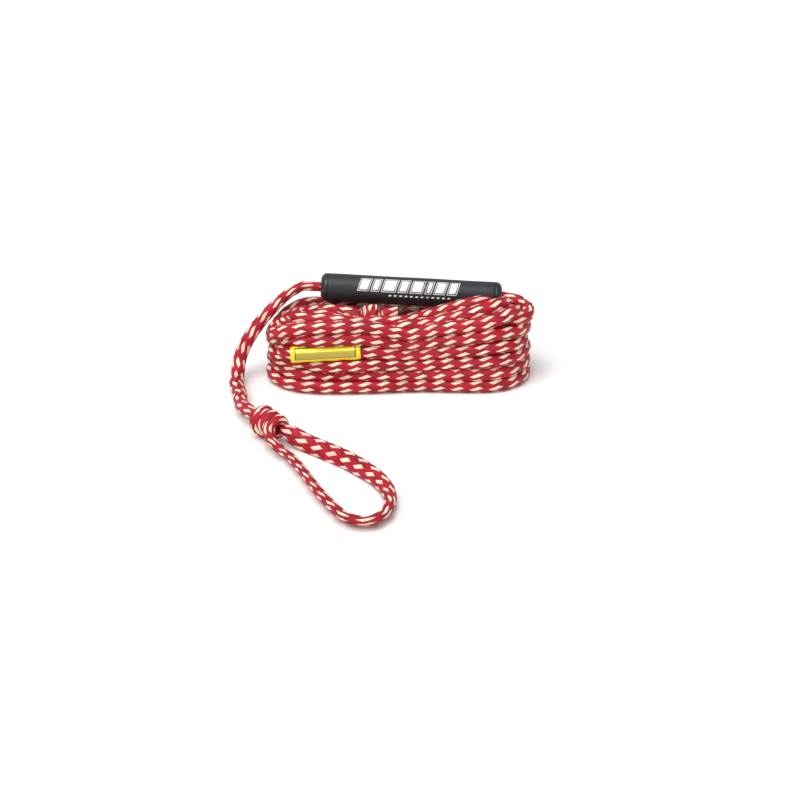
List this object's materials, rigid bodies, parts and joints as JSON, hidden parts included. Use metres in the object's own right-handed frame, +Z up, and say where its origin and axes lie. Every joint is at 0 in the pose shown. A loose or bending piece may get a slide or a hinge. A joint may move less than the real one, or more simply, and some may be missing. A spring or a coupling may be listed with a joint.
{
  "type": "tow rope with float",
  "caption": "Braided water-sports tow rope wound into a hank, with a foam float threaded on it and a knotted tow loop laid out in front.",
  "frame": {"origin": "on the ground, under the middle of the box of the hank with its float", "axes": "+X along the hank, towards the end its float points down to; +Z up; the tow loop lies on the -Y side"},
  "size_m": [0.3858, 0.4763, 0.1285],
  "materials": {
    "rope_red": "matte",
    "label_yellow": "satin",
    "foam_black": "matte",
    "cap_black": "satin",
    "core_grey": "satin",
    "sealed_dark": "gloss"
  },
  "bodies": {
    "rope": {"hank": "rope_red", "rope_in_float": "rope_red", "line_to_hank": "rope_red", "tail_rope": "rope_red", "loop_knot": "rope_red", "tow_loop": "rope_red", "end_knot": "rope_red", "end_tail": "rope_red", "sealed_end": "sealed_dark", "labelled_rope": "rope_red", "label_sleeve": "label_yellow"},
    "float_core": {"core_tube": "core_grey"},
    "float_shell": {"foam_sleeve": "foam_black", "end_cap_left": "cap_black", "end_cap_right": "cap_black"}
  },
  "joints": [
    {"name": "float_slide", "type": "slide", "parent": "rope", "child": "float_core", "axis": [0.9984, 0, -0.0564], "range_m": [-0.012, 0.006]},
    {"name": "float_roll", "type": "hinge", "parent": "float_core", "child": "float_shell", "pos_m": [0.017, 0.025, 0.1045], "axis": [0.9984, 0, -0.0564], "continuous": true}
  ]
}
